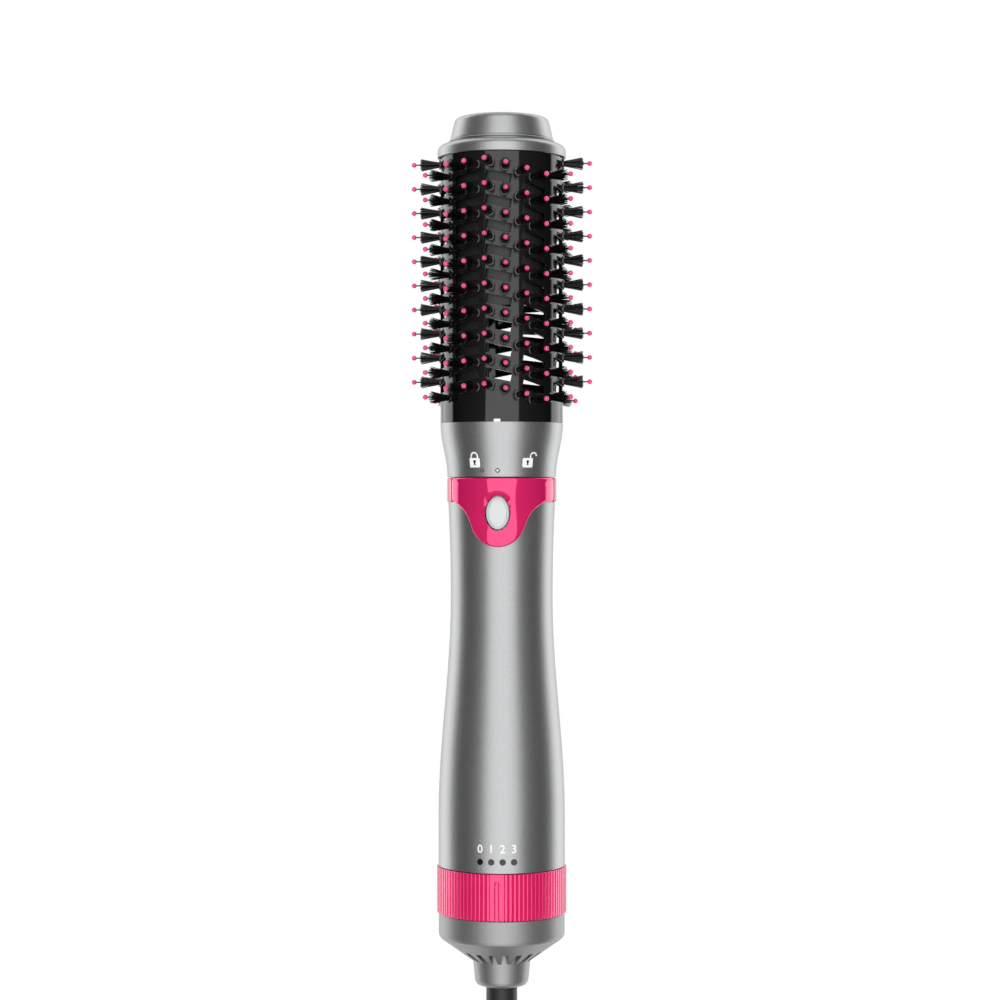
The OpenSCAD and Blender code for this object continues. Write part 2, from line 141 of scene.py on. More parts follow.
silver = material("silver_paint", SILVER, 0.38, metallic=0.92, vary=0.22, bump=0.018, edge=0.12,
                  **FLAKES)
silver_rear = material("silver_paint_rear", (0.31, 0.312, 0.316), 0.52, metallic=0.9, vary=0.2,
                       bump=0.016, edge=0.1, **FLAKES)
silver_parts = material("silver_paint_turned", SILVER, 0.38, metallic=0.92, vary=0.22, bump=0.018,
                        **FLAKES)
pink = material("pink_gloss", PINK, 0.06, metallic=0.3, vary=0.03, vary_scale=60, bump=0.002,
                bump_scale=300, Coat_Weight=0.3, Coat_Roughness=0.03)
pink_ribs = material("pink_ribs", PINK, 0.12, metallic=0.3, vary=0.03, vary_scale=300,
                     bump=0.0008, bump_scale=2200, Coat_Weight=0.5, Coat_Roughness=0.05)
pink_pins = material("pink_pins", (0.9, 0.06, 0.25), 0.2, vary=0.06, vary_scale=200, bump=0.003,
                     bump_scale=1500, Subsurface_Weight=0.1)
black_gloss = material("black_gloss", (0.0035, 0.0035, 0.0037), 0.06, vary=0.2, vary_scale=90,
                       rough_vary=0.2, bump=0.001, bump_scale=500, edge=0.3)
boss_black = material("black_gloss_bosses", (0.004, 0.004, 0.0043), 0.16, vary=0.2, vary_scale=300,
                      rough_vary=0.2, bump=0.001, bump_scale=900, IOR=1.6)
black_plastic = material("black_plastic", (0.012, 0.012, 0.013), 0.38, vary=0.15, bump=0.01)
guide_black = material("air_guide", (0.014, 0.014, 0.015), 0.42, vary=0.15, bump=0.004)
dark_plastic = material("dark_plastic", (0.022, 0.023, 0.026), 0.5, vary=0.15, bump=0.015)
nylon = material("bristle_nylon", (0.006, 0.006, 0.0065), 0.32, vary=0.3, vary_scale=900,
                 bump=0.003)
pearl = material("pearl_button", (0.63, 0.645, 0.66), 0.3, vary=0.05, vary_scale=900, bump=0.004,
                 Coat_Weight=0.35, Coat_Roughness=0.12, Sheen_Weight=0.1)
cream = material("cream_plastic", (0.55, 0.5, 0.4), 0.45, bump=0.01)
mica = material("mica_board", (0.5, 0.42, 0.28), 0.4, vary=0.3, vary_scale=150, bump=0.03,
                bump_scale=600)
heat_wire = material("heating_wire", (0.3, 0.3, 0.31), 0.45, metallic=1.0, vary=0.2, bump=0.01)
steel = material("steel", (0.56, 0.56, 0.57), 0.32, metallic=1.0, vary=0.08, vary_scale=900,
                 bump=0.004)
nickel = material("nickel_pins", (0.62, 0.61, 0.59), 0.2, metallic=1.0, vary=0.05, vary_scale=500,
                  bump=0.002)
rubber = material("soft_sleeve", (0.011, 0.011, 0.0115), 0.55, vary=0.2, bump=0.02,
                  bump_scale=1800)
pvc = material("cord_pvc", (0.01, 0.01, 0.0105), 0.42, vary=0.2, vary_scale=250, bump=0.012,
               bump_scale=1500)
board = material("circuit_board", (0.03, 0.14, 0.06), 0.35, vary=0.2, bump=0.02, bump_scale=800)
insulation = material("wire_insulation", (0.2, 0.03, 0.02), 0.45, bump=0.008)
white_print = material("white_print", (0.94, 0.94, 0.94), 0.6, vary=0.03, bump=0.003)
black_print = material("black_print", (0.004, 0.004, 0.004), 0.45, vary=0.1, bump=0.003)

NODE_LOOKS = {
    silver: ["handle_shell", "head_collar"],
    silver_rear: ["rear_cap", "swivel_cup"],
    black_gloss: ["head_barrel", "setting_dots"],
    black_plastic: ["outlet_spigot", "outlet_grille", "fan_duct"],
    dark_plastic: ["speed_switch", "intake_filter", "contact_block", "button_latch", "switch_fork",
                   "lock_ring", "cap_insulator"],
    mica: ["heater_sleeve", "heater_frame"],
    heat_wire: ["heater_coils"],
    steel: ["thermal_cutout", "motor_can", "cap_screws", "cap_screw", "button_spring",
            "motor_shaft"],
    rubber: ["motor_mount"],
    board: ["control_board"],
    insulation: ["inner_wires"],
    cream: ["fan_impeller"],
    nickel: ["plug_pins"],
}
for look, names in NODE_LOOKS.items():
    for name in names:
        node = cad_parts[name]
        if not node.data.materials:
            node.data.materials.append(look)
        for s in node.material_slots:
            s.material = look

# ---------------------------------------------------------------- curves and radii

WAIST_R, WAIST_Z = 22.05, 2  # the slimmest place of the handle
HANDLE_TOP_R, HANDLE_TOP_Z = 23.1, 42.4
HANDLE_LOW_R, HANDLE_SWELL = 27.35, 96  # its widest place, and how far below the waist that is
COLLAR_R, COLLAR_LOW, COLLAR_HIGH = 23.5, 53.2, 76.4
BARREL_R = 26.5


def ease(u):
    """A smooth rise from 0 to 1 while u goes from 0 to 1."""
    return (1 - math.cos(math.pi * min(max(u, 0), 1))) / 2


def bow(start, corner, end, t):
    """The point at share t of a curve from start to end that is pulled towards a corner."""
    return (1 - t) ** 2 * start + 2 * t * (1 - t) * corner + t ** 2 * end


def handle_r(z):
    """Radius of the handle's outside at height z, as in part.scad."""
    if z > WAIST_Z:
        rise = (z - WAIST_Z) / (HANDLE_TOP_Z - WAIST_Z)
        return WAIST_R + (HANDLE_TOP_R - WAIST_R) * rise ** 2
    return WAIST_R + (HANDLE_LOW_R - WAIST_R) * ease((WAIST_Z - z) / HANDLE_SWELL)


def collar_r(z):
    """Radius of the head's collar at height z, as in part.scad."""
    rise = (z - COLLAR_LOW) / (COLLAR_HIGH - COLLAR_LOW)
    return COLLAR_R + (BARREL_R - COLLAR_R) * ease(rise)


def barrel_r(_):
    """Radius of the head's barrel, which is the same at every height."""
    return BARREL_R


def round_over(depth, radius):
    """How far a surface falls at a distance inside an edge that is rounded to a radius."""
    if depth >= radius:
        return 0.0
    return radius - math.sqrt(max(0, radius ** 2 - (radius - depth) ** 2))


def full_turn(steps):
    """The angles of a whole turn in equal steps, in radians."""
    return [2 * math.pi * k / steps for k in range(steps)]


def around(r, degrees, z):
    """The point at radius r and height z, at an angle round the brush axis."""
    a = math.radians(degrees)
    return (r * math.sin(a), -r * math.cos(a), z)


# ---------------------------------------------------------------- mesh helpers

ON_AXIS = 1e-6


def between(a, b, columns):
    """Faces between two rings of points, whose first points are numbers a and b."""
    return [(a + k, a + (k + 1) % columns, b + (k + 1) % columns, b + k) for k in range(columns)]


def tube(rows, columns, start=0):
    """Faces of a tube of points stored ring by ring, open at both ends."""
    faces = []
    for i in range(rows - 1):
        faces += between(start + i * columns, start + (i + 1) * columns, columns)
    return faces


def capped(rows, columns):
    """Faces of a tube with a flat face on each end."""
    last = (rows - 1) * columns
    return tube(rows, columns) + [tuple(range(columns)), tuple(range(last, last + columns))]


def hoop(rows, columns):
    """Faces of a tube whose last ring joins its first."""
    return tube(rows, columns) + between((rows - 1) * columns, 0, columns)


def merged(*parts):
    """Several (points, faces) as one."""
    points, faces = [], []
    for more_points, more_faces in parts:
        start = len(points)
        points += list(more_points)
        faces += [tuple(v + start for v in face) for face in more_faces]
    return points, faces


def piece(name, points, faces, looks, body, slot=None, stands_for=(), which=None, sharp=38,
          sort=True):
    """A mesh piece from points. looks is a material or several, and which picks one per face."""
    mesh = bpy.data.meshes.new(name)
    mesh.from_pydata([(x * MM, y * MM, z * MM) for x, y, z in points], [], faces)
    looks = looks if isinstance(looks, (list, tuple)) else [looks]
    for look in looks:
        mesh.materials.append(look)
    if which is not None:
        mesh.polygons.foreach_set("material_index", which)
    mesh.validate()
    if sort:
        b = bmesh.new()
        b.from_mesh(mesh)
        bmesh.ops.recalc_face_normals(b, faces=b.faces)
        b.to_mesh(mesh)
        b.free()
    mesh.shade_smooth()
    mesh.set_sharp_from_angle(angle=math.radians(sharp))
    o = bpy.data.objects.new(name, mesh)
    scene.collection.objects.link(o)
    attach(o, body)
    if stands_for:
        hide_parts(*stands_for)
    return o


def rounded(outline, steps):
    """An outline from (r, z, radius) corners, each with about that radius where it isn't 0."""
    out, n = [], len(outline)
    for i, (x, z, radius) in enumerate(outline):
        here = np.array([x, z], float)
        if radius <= 0:
            out.append((x, z))
            continue
        before = np.array(outline[i - 1][:2], float) - here
        after = np.array(outline[(i + 1) % n][:2], float) - here
        la, lb = np.linalg.norm(before), np.linalg.norm(after)
        a, b = before / la, after / lb
        half = math.acos(max(-1, min(1, float(a @ b)))) / 2
        reach = min(radius / math.tan(half), la * 0.49, lb * 0.49)
        for k in range(steps + 1):
            p = bow(here + a * reach, here, here + b * reach, k / steps)
            out.append((float(p[0]), float(p[1])))
    return out


def turned(name, outline, look, body, steps, **more):
    """A piece turned round the brush axis from a line of (r, z) points."""
    points, rings = [], []
    for r, z in outline:
        first = len(points)
        if r < ON_AXIS:
            rings.append([first] * steps)
            points.append((0, 0, z))
        else:
            rings.append(range(first, first + steps))
            points += [(r * math.sin(a), -r * math.cos(a), z) for a in full_turn(steps)]
    faces = []
    for a, b in zip(rings, rings[1:]):
        for k in range(steps):
            n = (k + 1) % steps
            face = tuple(dict.fromkeys((a[k], a[n], b[n], b[k])))
            if len(face) > 2:
                faces.append(face)
    return piece(name, points, faces, look, body, **more)


# ---------------------------------------------------------------- release band and button

BAND_R, BAND_Z, BAND_TOP, BAND_INSIDE = 23.7, 42.4, 52.9, 21.25
BAND_SINK = 0.4  # how deep the tongue's back lies under the handle's surface
BUTTON_Z, BUTTON_W, BUTTON_H = 37.8, 11.0, 15.1
TONGUE_Z, TONGUE_ROUND, TONGUE_STEPS = 23.3, 12.2, 60
FLARE_Z, TONGUE_FLARE = 30, 9.8
SEAM_LEFT, SEAM_RIGHT = -62.0, 76.0  # where the front of the band ends, round the axis
SEAM_GAP, BACK_STEPS, BACK_EDGE = 0.35, 90, 0.7
FLARE_BEND, CORNER_BEND = 1.6, 1.9  # half the length of the outline's bends
OUTLINE_COUNTS = (70, 18, 34)  # points along tongue and lower edge, seam, and half the top edge
HOLE_TURNS = (-90, 18, 45, 90)  # angles round the button's hole at the ends of those three
SCOOP_Z, SCOOP_W, SCOOP_H, SCOOP_SLOPE = 42.2, 6.0, 5.15, 0.85
SCOOP_GAP, SCOOP_SOFT, SCOOP_START = 0.06, 0.15, 0.7
SCOOP_FLOOR, SCOOP_FLOOR_SLOPE = 0.4, 1.5  # the scoop's bottom stays above the shell
RIM_WIDTH, RIM_MARGIN, RIM_LIFT = 1.7, 0.35, 0.03
BAND_EDGE = 0.85
EDGE_STEPS = (0, 0.03, 0.1, 0.22, 0.38, 0.58, 0.85)  # distances inside the band's edge
FLAT_STEPS = (0.25, 0.5, 0.75, 0.92, 1)  # shares of the way from that edge to the rim
RIM_STEPS, SCOOP_STEPS = (0.3, 0.6, 0.85, 1), (0.04, 0.5, 0.94, 1)


def tongue_x(z):
    """Half the width of the band's tongue at height z, as in part.scad."""
    half = math.sqrt(max(0, TONGUE_ROUND ** 2 - (z - TONGUE_Z - TONGUE_ROUND) ** 2))
    return half + TONGUE_FLARE * (max(0, z - FLARE_Z) / (BAND_Z - FLARE_Z)) ** 3


def band_outline(seam):
    """One side of the band's front, unrolled, from the tongue's tip to the top edge's middle."""
    s_seam = abs(math.radians(seam)) * BAND_R
    line = []
    for i in range(TONGUE_STEPS + 1):
        z = TONGUE_Z + (BAND_Z - TONGUE_Z) * (1 - math.cos(math.pi / 2 * i / TONGUE_STEPS))
        line.append((BAND_R * math.asin(tongue_x(z) / BAND_R), z))
    line = np.array(line + [(s_seam, BAND_Z), (s_seam, BAND_TOP), (0, BAND_TOP)])
    steps = np.linalg.norm(np.diff(line, axis=0), axis=1)
    along = np.concatenate([[0], np.cumsum(steps)])

    def at(length):
        return np.array([np.interp(length, along, column) for column in line.T])

    flare, low_corner, high_corner = along[TONGUE_STEPS:TONGUE_STEPS + 3]
    bends = [(flare, FLARE_BEND), (low_corner, CORNER_BEND), (high_corner, CORNER_BEND)]
    marks = [0, low_corner, high_corner, along[-1]]
    out = []
    for count, first, final in zip(OUTLINE_COUNTS, marks, marks[1:]):
        for i in range(count):
            length = first + (final - first) * i / count
            p = at(length)
            for middle, reach in bends:
                t = (length - middle + reach) / (2 * reach)
                if 0 < t < 1:
                    p = bow(at(middle - reach), at(middle), at(middle + reach), t)
            out.append(p)
    return np.array(out + [at(marks[-1])])


def hole_angles():
    """Angle round the button's hole that goes with each point of band_outline."""
    out = []
    for count, first, final in zip(OUTLINE_COUNTS, HOLE_TURNS, HOLE_TURNS[1:]):
        out += [first + (final - first) * i / count for i in range(count)]
    return np.radians(np.array(out + [HOLE_TURNS[-1]]))


def oval_reach(directions, start, middle, w, h):
    """How far it is from height start, along each direction, to an oval round height middle."""
    a = (directions[:, 0] / w) ** 2 + (directions[:, 1] / h) ** 2
    b = directions[:, 1] * (start - middle) / h ** 2
    c = ((start - middle) / h) ** 2 - 1
    inside = b ** 2 - a * c
    return np.where(inside > 0, (np.sqrt(np.maximum(inside, 0)) - b) / a, 0)


def band_front():
    """The front of the band with its tongue, rim and scoop: points, faces and a look per face."""
    right, left = band_outline(SEAM_RIGHT), band_outline(SEAM_LEFT)
    edge = np.concatenate([right[:-1], (left * [-1, 1])[::-1][:-1]])
    angles = hole_angles()
    angles = np.concatenate([angles[:-1], (math.pi - angles)[::-1][:-1]])
    count = len(edge)
    middle = np.array([0, BUTTON_Z])
    run = np.roll(edge, -1, axis=0) - np.roll(edge, 1, axis=0)
    inward = np.stack([-run[:, 1], run[:, 0]], axis=1)
    inward /= np.linalg.norm(inward, axis=1)[:, None]
    oval = [BUTTON_W / 2 * np.cos(angles), BUTTON_H / 2 * np.sin(angles)]
    hole = middle + np.stack(oval, axis=1)
    reach = np.linalg.norm(hole - middle, axis=1)
    away = (hole - middle) / reach[:, None]
    beyond = oval_reach(away, BUTTON_Z, SCOOP_Z, SCOOP_W, SCOOP_H) - reach
    beyond = np.maximum(beyond, 0)
    scoop = reach + SCOOP_GAP + beyond ** 2 / (beyond + SCOOP_SOFT)
    rim = np.maximum(reach + RIM_WIDTH, scoop + RIM_MARGIN)
    scoop_line = middle + away * scoop[:, None]
    rim_line = middle + away * rim[:, None]
    rows = [(edge + inward * d, np.full(count, -round_over(d, BAND_EDGE))) for d in EDGE_STEPS]
    last = rows[-1][0]
    for w in FLAT_STEPS:
        rows.append((last + (rim_line - last) * w, np.zeros(count)))
    for w in RIM_STEPS:
        rows.append((rim_line + (scoop_line - rim_line) * w, np.full(count, RIM_LIFT * ease(w))))
    steep = SCOOP_SLOPE * np.minimum(1, beyond / SCOOP_START)
    fall = np.minimum(steep * np.linalg.norm(scoop_line - hole, axis=1),
                      SCOOP_FLOOR + SCOOP_FLOOR_SLOPE * np.maximum(hole[:, 1] - BAND_Z, 0))
    for w in SCOOP_STEPS:
        rows.append((scoop_line + (hole - scoop_line) * w, RIM_LIFT - fall * w))
    points = []
    for flat, lift in rows:
        for (s, z), h in zip(flat, lift):
            points.append(around(BAND_R + h, math.degrees(s / BAND_R), z))
    for flat, _ in rows:
        for s, z in flat:
            inside = BAND_INSIDE if z >= BAND_Z else handle_r(z) - BAND_SINK
            points.append(around(inside, math.degrees(s / BAND_R), z))
    n = len(rows)
    faces = tube(n, count) + tube(n, count, start=n * count)
    for row in (0, n - 1):
        faces += between(row * count, (n + row) * count, count)
    # The last ring of faces is the wall of the button's hole: it takes look 1, dark plastic, as
    # painted shade in the gap round the button.
    return points, faces, [0] * (len(faces) - count) + [1] * count


def band_back():
    """The rest of the band, round the back from one seam to the other."""
    profile = rounded([(BAND_INSIDE, BAND_Z, 0), (BAND_R, BAND_Z, BACK_EDGE),
                       (BAND_R, BAND_TOP, BACK_EDGE), (BAND_INSIDE, BAND_TOP, 0)], steps=5)
    first, final = SEAM_RIGHT + SEAM_GAP, SEAM_LEFT + 360 - SEAM_GAP
    points = [around(r, first + (final - first) * i / BACK_STEPS, z)
              for i in range(BACK_STEPS + 1) for r, z in profile]
    return points, capped(BACK_STEPS + 1, len(profile))


*front, front_looks_with_hole_shade = band_front()
points, faces = merged(front, band_back())
# The second look, dark plastic, is painted shade on the wall of the button's hole.
piece("release_band_cover", points, faces, [pink, dark_plastic], "handle", slot="pink_gloss",
      stands_for=["release_band"], which=front_looks_with_hole_shade + [0] * (len(faces) - len(front_looks_with_hole_shade)),
      sharp=26)

BUTTON_GAP, BUTTON_STEPS = 0.58, 96
BUTTON_SECTION = [  # inset from the button's side, and how far it stands from the axis
    (-1.3, 18.3), (-1.3, 19.5), (0, 19.5), (0, 23.0), (0.05, 23.35), (0.2, 23.6), (0.5, 23.78),
    (0.86, 23.86), (0.92, 23.92), (1.0, 24.1), (1.12, 24.22), (1.4, 24.3), (2.4, 24.38),
    (3.6, 24.41),
]


def button_dome():
    half_w, half_h = BUTTON_W / 2 - BUTTON_GAP, BUTTON_H / 2 - BUTTON_GAP
    points = [((half_w - inset) * math.cos(a), -out, BUTTON_Z + (half_h - inset) * math.sin(a))
              for inset, out in BUTTON_SECTION for a in full_turn(BUTTON_STEPS)]
    return points, capped(len(BUTTON_SECTION), BUTTON_STEPS)


piece("button_dome", *button_dome(), pearl, "button", slot="pearl_button",
      stands_for=["push_button"], sharp=35)

# ---------------------------------------------------------------- end cap

SHOULDER_R, SHOULDER_Z, SHOULDER_WIDE, SHOULDER_TALL = 22.9, 194, 4.85, 3
END_CAP = [  # radius and height, from the boss inside to the middle of the top
    (0, 185.6), (3.5, 185.6), (3.5, 206.1), (18.3, 206.2), (20.4, 197.6), (20.4, 191.5),
    (26.6, 191.5), (26.6, 190.9), (27.4, 190.9), (27.68, 191.05), (27.75, 191.35), (27.75, 194),
    *[(SHOULDER_R + SHOULDER_WIDE * math.cos(math.radians(a)),
       SHOULDER_Z + SHOULDER_TALL * math.sin(math.radians(a))) for a in range(9, 91, 9)],
    (22.75, 197.02), (22.6, 197.2), (22.62, 197.45), (22.85, 197.6), (23.0, 197.85),
    (22.95, 198.15), (22.75, 198.35), (22.4, 198.45), (22.22, 198.6), (22.2, 198.85),
    (22.3, 199.0), (20.6, 206.1), (20.38, 206.85), (20.0, 207.5), (19.4, 208.0), (18.6, 208.3),
    (17.6, 208.4), (0, 208.4),
]
turned("end_cap_shell", END_CAP, silver_parts, "head", steps=144, slot="silver_paint",
       stands_for=["head_cap"], sharp=32)

# ---------------------------------------------------------------- speed ring

RING_R, RING_INSIDE, RING_LOW, RING_HIGH = 28.0, 24.55, -134.5, -114.6
RING_EDGE = (0, 0.03, 0.1, 0.2, 0.35)  # heights over its rounded rim, whose radius is the last
FLUTES, FLUTE_DEPTH, FLUTE_CROWN = 87, 0.55, 0.58
FLUTE_SHARES = (0, 0.06, 0.12, 0.17, 0.21, 0.5, 0.79, 0.83, 0.88, 0.94)
PANEL_HALF, PANEL_DIP, PANEL_STEPS = 6.2, 0.3, 30  # the smooth panel, half its width in degrees
POINTER_HALF, POINTER_LIFT, POINTER_TOP, POINTER_FADE = 1.68, 0.5, 16.2, 0.5
POINTER_SIDE, POINTER_SLOPE = 0.5, 0.8


def flute_dip(share):
    """How deep the ring lies at a share of one flute: a broad crown with a narrow groove."""
    return FLUTE_DEPTH * ease((abs(share - 0.5) * 2 - FLUTE_CROWN) / (1 - FLUTE_CROWN))


def ring_surface():
    angles = [PANEL_HALF * (2 * k / PANEL_STEPS - 1) for k in range(PANEL_STEPS + 1)]
    dips = [PANEL_DIP] * len(angles)
    pitch = (360 - 2 * PANEL_HALF) / FLUTES
    for i in range(FLUTES):
        for share in FLUTE_SHARES:
            angles.append(PANEL_HALF + (i + share) * pitch)
            dips.append(flute_dip(share))
    span = RING_HIGH - RING_LOW
    fade = [POINTER_TOP + POINTER_FADE * u for u in (0, 0.5, 1)]
    heights = [*RING_EDGE, 3, 8, 13, *fade, *[span - h for h in reversed(RING_EDGE)]]
    points = []
    for h in heights:
        edge = round_over(min(h, span - h), RING_EDGE[-1])
        up = 1 - ease((h - POINTER_TOP) / POINTER_FADE)
        for a, dip in zip(angles, dips):
            if abs(a) < PANEL_HALF - 0.1:
                side = ease((abs(a) - POINTER_HALF + POINTER_SIDE) / POINTER_SLOPE)
                dip -= POINTER_LIFT * up * (1 - side)
            points.append(around(RING_R - dip - edge, a, RING_LOW + h))
    for z in (RING_HIGH, RING_LOW):
        points += [around(RING_INSIDE, a, z) for a in angles]
    return points, hoop(len(heights) + 2, len(angles))


piece("speed_ring_fluted", *ring_surface(), pink_ribs, "dial", slot="pink_satin",
      stands_for=["speed_ring"], sharp=50)

# ---------------------------------------------------------------- air guide

GUIDE_OUT, GUIDE_IN, GUIDE_LIP_R = 23.9, 23.3, 24.85
GUIDE_LOW, GUIDE_OPEN, GUIDE_TOP, GUIDE_LIP = 80, 126, 183.5, 1.2
GUIDE_WALLS = ((-68, -10), (18, 22), (63, 67), (113, 117), (166, 170), (198, 202),
               (243, 247))  # from and to in degrees, in the open lower part
GUIDE_HOOP = (18, 67, 113.4, 117)  # from and to in degrees, and from and to in height
GUIDE_SLOTS, GUIDE_SLOT_W, GUIDE_SLOT_TOP = (-52, 18, 54, 90), 3.2, 175.5
WALL_STEP = 3  # degrees


def wall(r_in, r_out, first, final, low, high):
    """A closed piece of round wall between two angles and two heights."""
    steps = max(2, round(abs(final - first) / WALL_STEP))
    points = [around(r, first + (final - first) * i / steps, z) for i in range(steps + 1)
              for r, z in ((r_in, low), (r_out, low), (r_out, high), (r_in, high))]
    return points, capped(steps + 1, 4)


def air_guide():
    """The liner inside the barrel: open between a few walls below, and a slotted tube above."""
    low, high = GUIDE_LOW + GUIDE_LIP, GUIDE_TOP - GUIDE_LIP
    parts = [wall(GUIDE_IN, GUIDE_LIP_R, 0, 360, GUIDE_LOW, low),
             wall(GUIDE_IN, GUIDE_LIP_R, 0, 360, high, GUIDE_TOP),
             wall(GUIDE_IN, GUIDE_OUT, 0, 360, GUIDE_SLOT_TOP, high),
             wall(GUIDE_IN, GUIDE_OUT, *GUIDE_HOOP)]
    parts += [wall(GUIDE_IN, GUIDE_OUT, a, b, low, GUIDE_OPEN) for a, b in GUIDE_WALLS]
    half = math.degrees(GUIDE_SLOT_W / 2 / GUIDE_OUT)
    for turn in (0, 180):
        slots = [a + turn for a in GUIDE_SLOTS]
        for a, b in zip(slots, slots[1:] + [slots[0] + 180]):
            parts.append(wall(GUIDE_IN, GUIDE_OUT, a + half, b - half, GUIDE_OPEN, GUIDE_SLOT_TOP))
    return merged(*parts)


piece("air_guide_liner", *air_guide(), guide_black, "head", slot="black_plastic",
      stands_for=["air_guide"])

# ---------------------------------------------------------------- pins and bristles

PIN_ROWS, PIN_PITCH = 10, 10.47
FRONT_COLUMNS = [  # degrees, and the height of the top pin
    (-54.25, 181.2), (-33.75, 184.5), (-20.25, 185.3), (-6.75, 186.2), (6.75, 184.4),
    (20.25, 182.1), (33.75, 180.1), (54.25, 181.2), (90, 188.6),
]
COLUMNS = FRONT_COLUMNS + [(a + 180, z) for a, z in FRONT_COLUMNS]
chance = np.random.default_rng(11)


def standing_out(degrees, z):
    """Turns (sideways, up, out) at one place of the head into a point."""
    a = math.radians(degrees)
    out, side = (math.sin(a), -math.cos(a)), (math.cos(a), math.sin(a))

    def place(u, v, r):
        return (side[0] * u + out[0] * r, side[1] * u + out[1] * r, z + v)
    return place


def places(degrees, top):
    """The ten places of one column of pins, from the top down."""
    return [standing_out(degrees, top - PIN_PITCH * row) for row in range(PIN_ROWS)]


def lathe(place, section, sides):
    """A small turned shape that stands out from the head; section is (radius, out)."""
    points = [place(radius * math.cos(a), radius * math.sin(a), out)
              for radius, out in section for a in full_turn(sides)]
    return points, capped(len(section), sides)


BOSS = [(2.15, 25.9), (2.15, 26.75), (2.08, 26.98), (1.9, 27.1), (1.45, 27.12), (1.32, 26.8)]
BRISTLES, GOLDEN_ANGLE = 66, 2.39996
TUFT_ROOT_R, TUFT_SPREAD, TIP_SCATTER = 1.1, 2.55, 0.07
TUFT_REACH, TUFT_DOME, REACH_SCATTER = 35.3, 0.5, (-0.25, 0.3)
ROOT_OUT, TIP_OUT, BRISTLE_TWIST = 26.6, 35.5, 5
BRISTLE_SECTION = [  # distance from the axis, share of the spread, radius
    (ROOT_OUT, 0.0, 0.14), (31.4, 0.5, 0.15), (TIP_OUT, 1.0, 0.13),
]


def bristle(place, base, tip, reach):
    """One three-sided bristle; base and tip are (sideways, up) from its pin."""
    points = []
    for out, share, radius in BRISTLE_SECTION:
        u, v = base + (tip - base) * share
        r = ROOT_OUT + (reach - ROOT_OUT) * (out - ROOT_OUT) / (TIP_OUT - ROOT_OUT)
        for turn in full_turn(3):
            a = turn + base[0] * BRISTLE_TWIST
            points.append(place(u + radius * math.cos(a), v + radius * math.sin(a), r))
    return points, tube(3, 3) + [(6, 7, 8)]


def tuft_column(degrees, top):
    """One column of bosses and tufts: points, faces and a look per face."""
    bosses = [lathe(place, BOSS, 16) for place in places(degrees, top)]
    bristles = []
    for place in places(degrees, top):
        for k in range(BRISTLES):
            turn, far = k * GOLDEN_ANGLE, math.sqrt((k + 0.5) / BRISTLES)
            base = np.array([math.cos(turn), math.sin(turn)]) * far * TUFT_ROOT_R
            tip = base * TUFT_SPREAD + chance.normal(0, TIP_SCATTER, 2)
            reach = TUFT_REACH - TUFT_DOME * far ** 3 + chance.uniform(*REACH_SCATTER)
            bristles.append(bristle(place, base, tip, reach))
    points, faces = merged(*bosses, *bristles)
    count = sum(len(f) for _, f in bosses)
    return points, faces, [0] * count + [1] * (len(faces) - count)


for i, (degrees, top) in enumerate(COLUMNS):
    points, faces, which = tuft_column(degrees, top)
    piece(f"bristle_tufts_{i + 1:02d}", points, faces, [boss_black, nylon], "head",
          slot="bristle_nylon", stands_for=[f"bristle_column_{i + 1:02d}"], which=which)

PIN_TIP, BALL_R = 38.1, 1.1
PIN_SHAFT = [(0.42, 25.4), (0.36, 32), (0.3, PIN_TIP - 0.9)]
BALL_TURNS = [math.pi * (k + 0.35) / 9.7 for k in range(10)]
PIN_BALL = [(BALL_R * math.sin(a), PIN_TIP - BALL_R * math.cos(a)) for a in BALL_TURNS]


def all_pins():
    """Every ball-tipped pin: points, faces and a look per face."""
    shafts, balls = [], []
    for degrees, top in COLUMNS:
        for place in places(degrees, top):
            shafts.append(lathe(place, PIN_SHAFT, 7))
            balls.append(lathe(place, PIN_BALL, 14))
    dark = sum(len(f) for _, f in shafts)
    points, faces = merged(*shafts, *balls)
    return points, faces, [1] * dark + [0] * (len(faces) - dark)


points, faces, which = all_pins()
piece("pins_with_balls", points, faces, [pink_pins, nylon], "head", slot="pink_pins",
      stands_for=["ball_pins"], which=which, sharp=45)

# ---------------------------------------------------------------- cord fittings

SLEEVE_TOP, SLEEVE_END = -160.6, -208.0
RIBS, RIBS_TOP, RIBS_END, RIB_SHARE, RIB_DEPTH = 8, -178.4, SLEEVE_END + 1.2, 0.62, 0.95
FIRST_RIB_R, LAST_RIB_R = 6.5, 4.75


def sleeve_section():
    """Outline of the bend sleeve: a plain upper half, then ribs that shrink towards the cord."""
    line = [(0, SLEEVE_TOP), (9.45, SLEEVE_TOP), (9.45, -163.4), (6.7, -163.4), (6.7, -177.4),
            (6.55, -178)]
    for k in range(RIBS):
        high, low, next_high = [RIBS_TOP + (RIBS_END - RIBS_TOP) * (k + share) / RIBS
                                for share in (0, RIB_SHARE, 1)]
        r = FIRST_RIB_R - (FIRST_RIB_R - LAST_RIB_R) * k / (RIBS - 1)
        groove = r - RIB_DEPTH
        line += [(groove, high), (r - 0.12, high), (r, high - 0.2), (r - 0.1, low + 0.25),
                 (r - 0.28, low), (groove, low), (groove, next_high + 0.02)]
    return line + [(LAST_RIB_R, RIBS_END), (4.6, SLEEVE_END + 0.2), (4.35, SLEEVE_END),
                   (0, SLEEVE_END)]


turned("bend_sleeve_ribbed", sleeve_section(), rubber, "cord", steps=48, slot="rubber",
       stands_for=["bend_sleeve"], sharp=40)

STRAP_THICK, STRAP_SINK, STRAP_CORNER = 1.4, 0.02, 5


